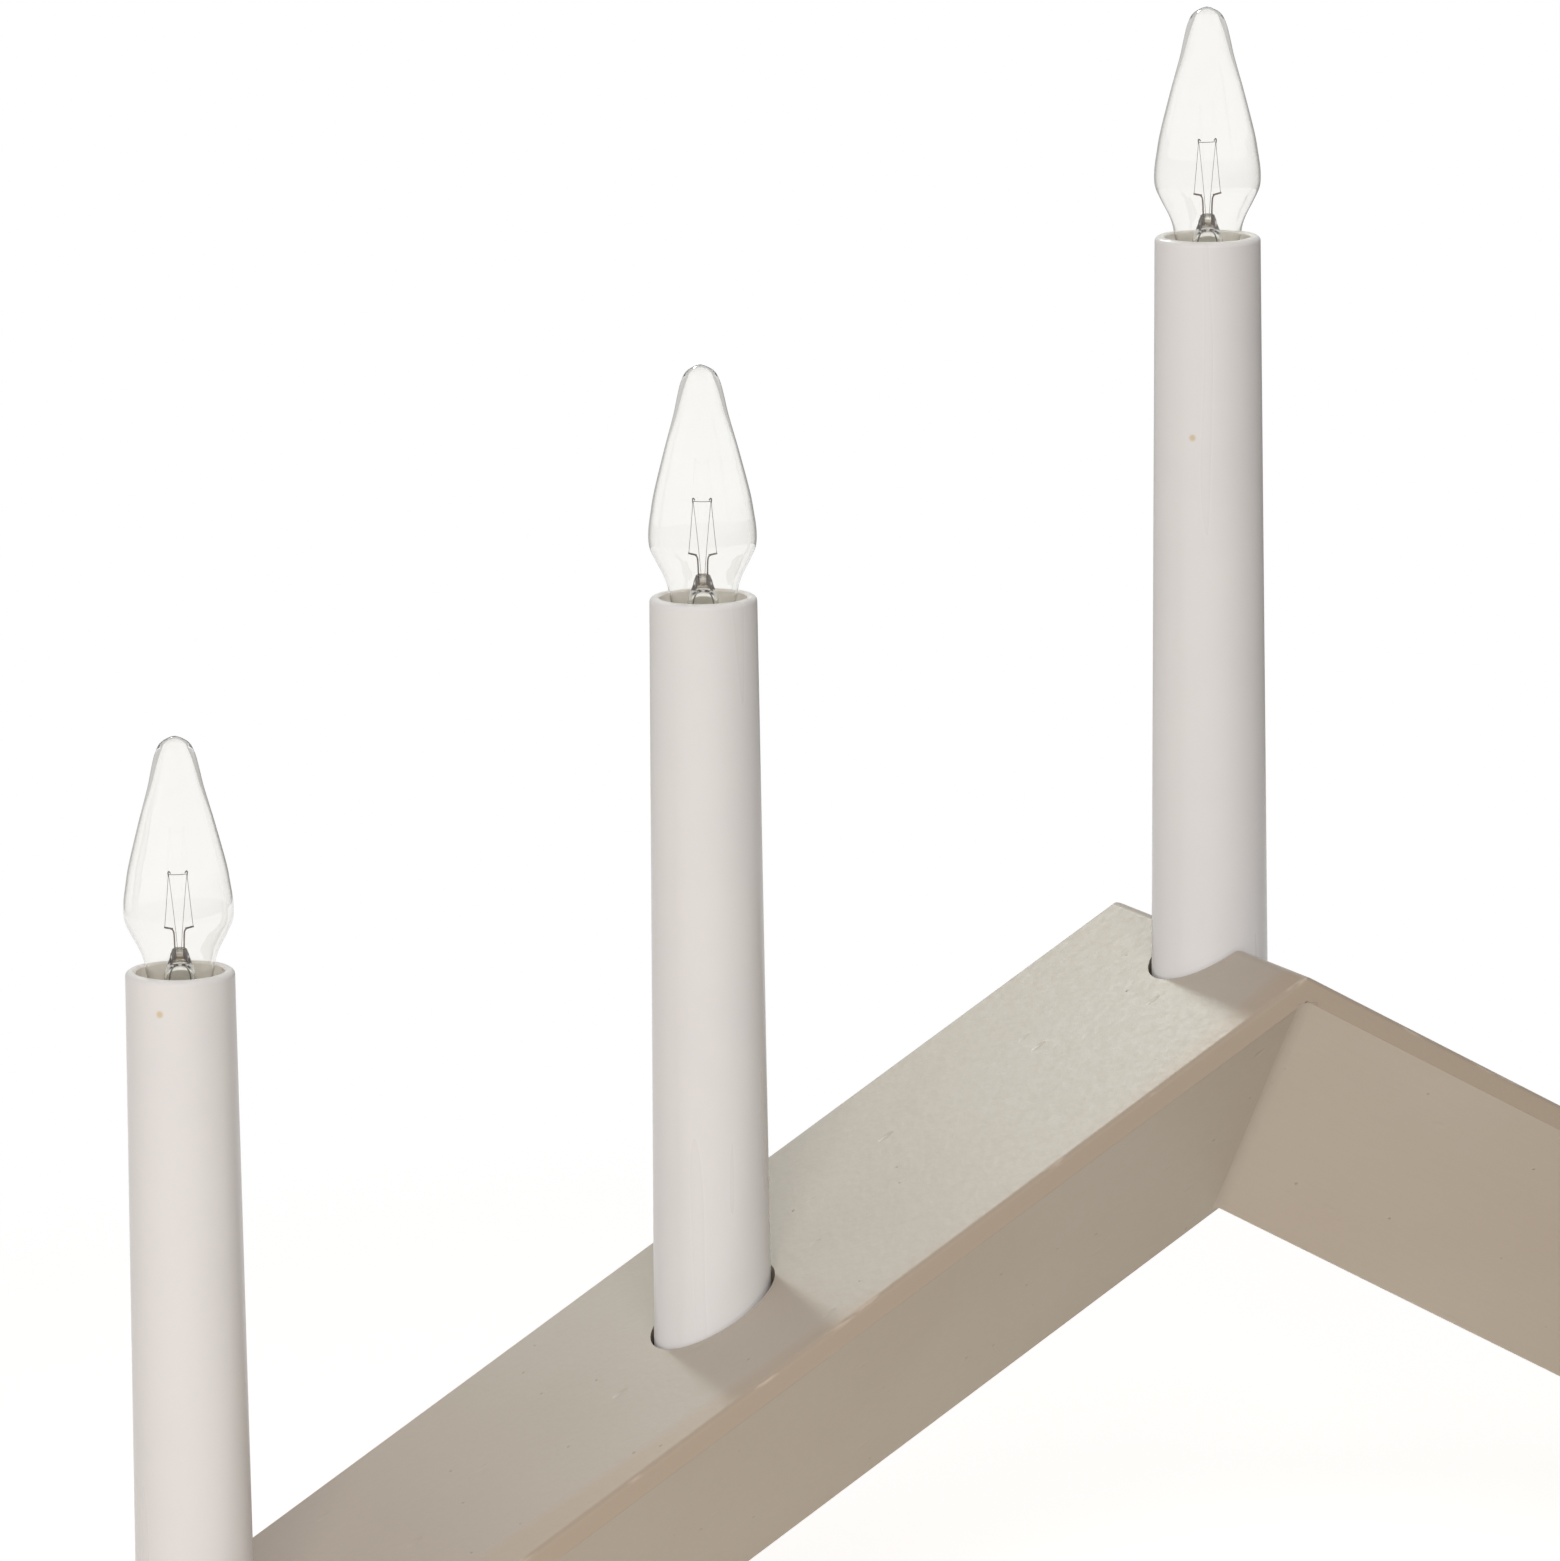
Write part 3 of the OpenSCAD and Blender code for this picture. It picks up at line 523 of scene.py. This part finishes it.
def blow_bulb():
    """A bulb's glass: the blown envelope, the flare that closes its neck and the pinched stem."""
    outline = [(share_r * BULB_D / 2, share_h * BULB_H) for share_h, share_r in BULB_SHARES]
    outside = smoothed([*outline, (NECK_R, NECK_Z)], steps=6)
    flare = [
        (NECK_R, NECK_FOOT_Z), (2.6, NECK_FOOT_Z), (2.5, -3), (2.3, -0.9), (1.95, 0.2), (1.3, 0.9),
        (0.6, 1.2), (POINT_R, 1.25)]
    shell = turned("glass_outside", [(r, r, z) for r, z in [*outside, *flare]])

    # The hollow follows the outline until it nears the axis at the tip or the stem in the neck
    least_r, least_z = 0.25, -3.2
    inside = []
    for k in range(1, len(outside) - 1):
        run = outside[k + 1] - outside[k - 1]
        wall = glass_wall(outside[k].y)
        r = outside[k].x + wall * run.y / run.length
        z = outside[k].y - wall * run.x / run.length
        if r > least_r and z > least_z:
            inside.append((r, r, z))
    crown_share = 0.05
    r, _, z = inside[0]
    crown = (POINT_R, POINT_R, z + crown_share * r)
    stem = [
        (3.4, 3.4, NECK_Z), (3.1, 3.1, -3.4), (2.95, 2.95, -2.4), (2.75, 2.75, -0.8), (2.45, 2.4, 0.4),
        (2.05, 1.75, 1.4), (1.75, 1.2, 2.2), (1.6, 1, 2.9), (1.4, 0.95, 3.4), (1.25, 0.85, 3.8),
        (0.9, 0.6, 4), (POINT_R, POINT_R, 4)]
    hollow = turned("glass_inside", [crown, *inside, *stem])
    bpy.ops.object.mode_set(mode="EDIT")
    bpy.ops.mesh.select_all(action="SELECT")
    bpy.ops.mesh.flip_normals()
    deselect_all()
    bulb = join_all("bulb_glass_form", shell, hollow)
    bpy.ops.object.shade_smooth()
    coat_in(bulb, glass)
    return bulb


def bend_bulb_wires():
    """What stands in a bulb: two leads with their seals and clamps, two support wires with hooks, and the
    filament, which runs a little behind them."""
    filament_y = 0.1
    # Name, metal, radius, sides, distance behind the middle, and points: outwards and up
    pairs = (
        ("lead", lead_metal, 0.14, 10, 0, (
            (2, -4.9), (1.9, -1.2), (1.5, 0.2), (1.1, 1.2), (0.8, 2.2), (0.8, 4), (0.85, 6), (0.95, 6.9),
            (1.35, 7.3), (1.6, 7.4))),
        ("seal", lead_metal, 0.34, 10, 0, ((0.82, 1.9), (0.82, 2.8), (0.82, 3.7))),
        ("clamp", lead_metal, 0.17, 10, 0, ((1.05, 7.25), (1.8, 7.4), (2.55, 7.6))),
        ("support", support_metal, 0.05, 8, 0, (
            (0.3, 3.2), (0.35, 4.4), (0.9, 10.5), (1.5, 16.4), (1.62, 17.1), (1.5, 17.4), (1.3, 17.1))),
        ("hook", lead_metal, 0.1, 8, 0, ((1.58, 16.5), (1.72, 17.1), (1.52, 17.5), (1.25, 17))),
        ("filament_leg", filament_metal, 0.045, 8, filament_y, ((2.45, 7.6), (2.1, 11), (1.6, 16.8))))
    wires = []
    for s in (-1, 1):
        for name, metal, radius, sides, y, route in pairs:
            wire = drawn_wire(name, [(s * x, y, z) for x, z in route], radius, sides)
            coat_in(wire, metal)
            wires.append(wire)
    sag = ((-1.55, 16.8), (0, 16.65), (1.55, 16.8))
    bridge = drawn_wire("filament_bridge", [(x, filament_y, z) for x, z in sag], 0.06, 8)
    coat_in(bridge, filament_metal)
    inner_form = join_all("bulb_wire_form", *wires, bridge)
    bpy.ops.object.shade_smooth()
    return inner_form


def run_bead(name, head, foot):
    """Paint run into the mitre between two side panels: a strip folded along its middle, its fold rounded.
    Its hollow side faces along the cross product of +X and the way from foot to head."""
    half_w, thickness, rounding = 2, 0.1, 1.4
    shorter_by, clear = 0.6, 0.02
    length = (head - foot).length - shorter_by
    along = (head - foot).normalized()
    outward = Vector((1, 0, 0)).cross(along)
    fold_z = half_w * math.tan(MITRE_DIP)
    deselect_all()
    bpy.ops.mesh.primitive_plane_add(size=2 * half_w * MM)
    bead = bpy.context.object
    bead.name = name
    bpy.ops.object.mode_set(mode="EDIT")
    bpy.ops.transform.resize(value=(1, length / (2 * half_w), 1))
    bpy.ops.mesh.subdivide(number_cuts=1)
    bpy.ops.mesh.select_all(action="DESELECT")
    form = bmesh.from_edit_mesh(bead.data)
    for spot in form.verts:
        spot.select_set(abs(spot.co.x) < half_w * MM / 2)
    form.select_flush(True)
    bmesh.update_edit_mesh(bead.data)
    bpy.ops.transform.translate(value=(0, 0, -fold_z * MM))
    bpy.ops.mesh.bevel(offset=rounding * MM, segments=8, affect="EDGES")
    bpy.ops.mesh.select_all(action="SELECT")
    bpy.ops.mesh.extrude_region_move(TRANSFORM_OT_translate={"value": (0, 0, -thickness * MM)})
    bpy.ops.mesh.select_all(action="SELECT")
    bpy.ops.mesh.normals_make_consistent(inside=False)
    bpy.ops.object.mode_set(mode="OBJECT")
    bpy.ops.object.shade_smooth_by_angle(angle=math.radians(40))
    lift = (fold_z + clear) * outward
    bead.matrix_world = Matrix.Translation((lift + (head + foot) / 2) * MM) @ Matrix(
        ((1, 0, 0), along, outward)).transposed().to_4x4()
    bpy.ops.object.transform_apply(location=True, rotation=True, scale=True)
    return bead


# Studio

def hang_lamp(kind, name, place, aim, power, colour):
    """A lamp that shines towards aim and isn't seen itself, neither straight nor through glass."""
    bpy.ops.object.light_add(type=kind, location=place)
    lamp = bpy.context.object
    lamp.name = name
    lamp.visible_camera = lamp.visible_transmission = False
    lamp.rotation_euler = (Vector(aim) - Vector(place)).to_track_quat("-Z", "Y").to_euler()
    lamp.data.energy = power
    lamp.data.color = linear(colour)[:3]
    return lamp


def seen_directly(tree):
    """1 for what the camera sees, straight, mirrored or through glass, and 0 for what only gives light."""
    ray = add_node(tree, "LightPath")
    seen = ray["Is Camera Ray"]
    for other in ("Is Glossy Ray", "Is Transmission Ray"):
        seen = add_node(tree, "Math", {0: seen, 1: ray[other]}, operation="MAXIMUM")[0]
    return seen


def light_studio():
    """Soft white light, stronger from the left. Gloss mirrors white, and grey low on the right. Through glass
    the studio is white, greyer overhead, and what glass mirrors inside itself is grey all round, which draws
    its thin outline from any side."""
    world = bpy.data.worlds.new("studio")
    scene.world = world
    world.use_nodes = True
    tree = world.node_tree
    tree.nodes.clear()
    ray = add_node(tree, "LightPath")
    way = add_node(tree, "SeparateXYZ", {"Vector": add_node(tree, "TexCoord")["Generated"]})

    overhead = add_node(tree, "MapRange", {"Value": way["Z"], "From Min": 0.25, "From Max": 0.7})[0]
    through = add_node(tree, "Mix", {0: overhead, 6: "FFFFFF", 7: "D6D4D2"}, data_type="RGBA")[2]
    in_glass = add_node(tree, "MapRange", {"Value": ray["Glossy Depth"], "From Min": 0, "From Max": 1})[0]
    through = add_node(tree, "Mix", {0: in_glass, 6: through, 7: "C6C4C1"}, data_type="RGBA")[2]
    # Daylight for the bores, which reaches them through the bulbs
    bore = add_node(tree, "Math", {
        0: add_node(tree, "MapRange", {"Value": ray["Diffuse Depth"], "From Min": 0, "From Max": 1})[0],
        1: ray["Is Transmission Ray"]}, operation="MULTIPLY")[0]
    through = add_node(tree, "Mix", {0: bore, 6: through, 7: "FFECD2"}, data_type="RGBA")[2]

    low_right = add_node(tree, "Math", {
        0: add_node(tree, "MapRange", {"Value": way["X"], "From Min": -0.5, "From Max": 0.5})[0],
        1: add_node(tree, "MapRange", {"Value": way["Z"], "From Min": 0.12, "From Max": -0.05})[0],
    }, operation="MULTIPLY")[0]
    mirrored = add_node(tree, "Mix", {0: low_right, 6: "FFFFFF", 7: "94928F"}, data_type="RGBA")[2]
    seen = add_node(tree, "Mix", {
        0: ray["Is Transmission Ray"], 6: mirrored, 7: through}, data_type="RGBA")[2]
    seen = add_node(tree, "Mix", {0: ray["Is Camera Ray"], 6: seen, 7: "FFFFFF"}, data_type="RGBA")[2]
    backdrop = add_node(tree, "Background", {
        "Color": seen,
        "Strength": add_node(tree, "MapRange", {"Value": bore, "To Min": 1, "To Max": 2})[0]})[0]
    ambient = add_node(tree, "Background", {
        "Color": "FFF6F1",
        "Strength": add_node(tree, "MapRange", {
            "Value": way["X"], "From Min": -0.8, "From Max": 0.8, "To Min": 0.35, "To Max": 0.23})[0]})[0]
    both = add_node(tree, "MixShader", {0: seen_directly(tree), 1: ambient, 2: backdrop})[0]
    add_node(tree, "OutputWorld", {"Surface": both})


def lay_floor():
    """A white table top that keeps the shadow and turns into the even white backdrop further out."""
    floor_r, below = 0.9, 0.0002
    deselect_all()
    bpy.ops.mesh.primitive_circle_add(
        vertices=128, radius=floor_r, fill_type="NGON", location=(0, 0, -below))
    floor = bpy.context.object
    floor.name = "studio_floor"
    material = bpy.data.materials.new("matt_white_board")
    material.use_nodes = True
    tree = material.node_tree
    tree.nodes.clear()
    direct = seen_directly(tree)
    place = add_node(tree, "TexCoord")["Object"]
    away = add_node(tree, "VectorMath", {0: place}, operation="LENGTH")["Value"]
    across = add_node(tree, "SeparateXYZ", {"Vector": place})["X"]

    # Light that comes back from the table to the side panels, stronger on the left and warmer on the right
    glow = add_node(tree, "MapRange", {
        "Value": across, "From Min": -0.3, "From Max": 0.05, "To Min": 0.9, "To Max": 0.1})[0]
    to_right = add_node(tree, "MapRange", {"Value": across, "From Min": -0.15, "From Max": 0.1})[0]
    warm = add_node(tree, "Mix", {0: to_right, 6: "FFEEDF", 7: "FFDFBE"}, data_type="RGBA")[2]
    tint = add_node(tree, "Mix", {0: direct, 6: warm, 7: "FFFFFF"}, data_type="RGBA")[2]
    matt = add_node(tree, "BsdfDiffuse", {
        "Color": add_node(tree, "Mix", {0: direct, 6: "CFC6B4", 7: "F4F4F4"}, data_type="RGBA")[2]})[0]
    half_glow = add_node(tree, "Math", {0: glow, 1: 0.5}, operation="MULTIPLY")[0]
    lift = add_node(tree, "Emission", {
        "Color": tint,
        "Strength": add_node(tree, "MapRange", {"Value": direct, "To Min": half_glow, "To Max": 0.6})[0]})[0]
    table = add_node(tree, "AddShader", {0: matt, 1: lift})[0]
    white = add_node(tree, "Emission", {
        "Color": tint,
        "Strength": add_node(tree, "MapRange", {"Value": direct, "To Min": glow, "To Max": 1})[0]})[0]
    far = add_node(tree, "MapRange", {"Value": away, "From Min": 0.25, "From Max": 0.5})[0]
    both = add_node(tree, "MixShader", {0: far, 1: table, 2: white})[0]
    add_node(tree, "OutputMaterial", {"Surface": both})
    coat_in(floor, material)


# The candelabra: its finishes

glass = blown_glass("blown_soda_lime_glass")
lead_metal = drawn_metal("drawn_copper_clad_iron", "6B5F58", "8C8078", 0.36, 0.15)
support_metal = drawn_metal("drawn_molybdenum", "A9A6A1", "C2BFBA", 0.4, 0.1)
filament_metal = drawn_metal("drawn_tungsten", "77726C", "8E8983", 0.45, 0.1)
brass = drawn_metal("stamped_brass", "B58C4A", "CFAA68", 0.28)
screw_metal = drawn_metal("zinc_plated_steel", "A6A9AC", "C3C6C8", 0.32)
candle_plastic = moulded_candle("moulded_abs_candle")
marked_candles = {
    i: moulded_candle(f"moulded_abs_candle_{i}", [Vector((candle_x(i) + x, y, rim_z(i) - down)) * MM])
    for i, (x, y, down) in SINK_MARKS.items()}
socket_plastic = moulded_socket("moulded_polyamide")
sleeve = sleeve_plastic("extruded_pvc")

# One lacquer for both arms, in two tones: the right arm's is lighter, as painted light
for side, slope, thin, thick in zip(
        SIDES, (ARM_SLOPE, -ARM_SLOPE), ("BAB2A4", "C5BEB2"), ("BFB9AC", "CAC5BB")):
    lacquer = sprayed_lacquer(f"sprayed_satin_lacquer_{side}", slope, thin, thick)
    in_finish(lacquer, *(f"{side}_{part}" for part in (
        "top_board", "front_panel", "back_panel", "keel_rail", "foot_cover")))
    in_finish(sawn_pine(f"sawn_pine_{side}"), f"{side}_foot_block")
in_finish(pressed_felt("pressed_wool_felt"), "felt_pads")
in_finish(screw_metal, "cover_screws")
in_finish(moulded_rubber("moulded_chloroprene"), "cord_grommet")
in_finish(socket_plastic, "terminal_block")
in_finish(sleeve, "link_wires", "feed_wires")
for i in CANDLES:
    in_finish(candle_plastic, f"candle_cup_{i}")
    in_finish(marked_candles.get(i, candle_plastic), f"candle_tube_{i}")
    in_finish(socket_plastic, f"socket_body_{i}")
    in_finish(brass, f"socket_shell_{i}", f"contact_tongue_{i}", f"bulb_cap_{i}")

# Paint in the mitres, in the right arm's lacquer. The strip's ends change places at the back, so that its
# hollow side faces out there too.
mitre_top, mitre_foot = RIDGE_H - BOARD_T / math.cos(ARM_SLOPE), RIDGE_H - ARM_DROP
for name, at in (("front", -1), ("back", 1)):
    bead = run_bead(f"mitre_paint_{name}", *sorted(
        (Vector((0, at * BOARD_W / 2, mitre_top)), Vector((0, at * KEEL_W / 2, mitre_foot))),
        key=lambda end: at * end.z))
    coat_in(bead, lacquer)
    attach(bead, "frame")

# Bulbs: one glass and one set of wires, copied into each socket
bulb_form = blow_bulb()
wire_form = bend_bulb_wires()
for i, turn in zip(CANDLES, BULB_TURNS):
    place = (candle_x(i) * MM, 0, rim_z(i) * MM)
    for form, name, node, slot in (
            (bulb_form, "clear_bulb", "bulb_glass", "bulb_glass"),
            (wire_form, "bulb_wires", "bulb_filament", "lead_nickel")):
        piece = copy_at(form, f"{name}_{i}", place, turn)
        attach(piece, f"bulb_{i}")
        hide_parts(f"{node}_{i}")
for form in (bulb_form, wire_form):
    bpy.data.objects.remove(form)

place_camera()
light_studio()
lay_floor()

key = hang_lamp(
    "AREA", "key_front_left", place=(-1.15, -2.1, 1.3), aim=(0, 0, 0.2), power=38.5, colour="FFF5F1")
key.visible_glossy = False
key.data.shape = "SQUARE"
key.data.size = 1.6
rear = hang_lamp(
    "SPOT", "spot_behind_ridge", place=(0.12, 2.2, 1.8), aim=(0.1, 0, 0.15), power=61, colour="F8FFF9")
rear.data.spot_size = math.radians(19.5)
rear.data.spot_blend = 1
rear.data.shadow_soft_size = 0.16

scene.view_settings.view_transform = "Standard"
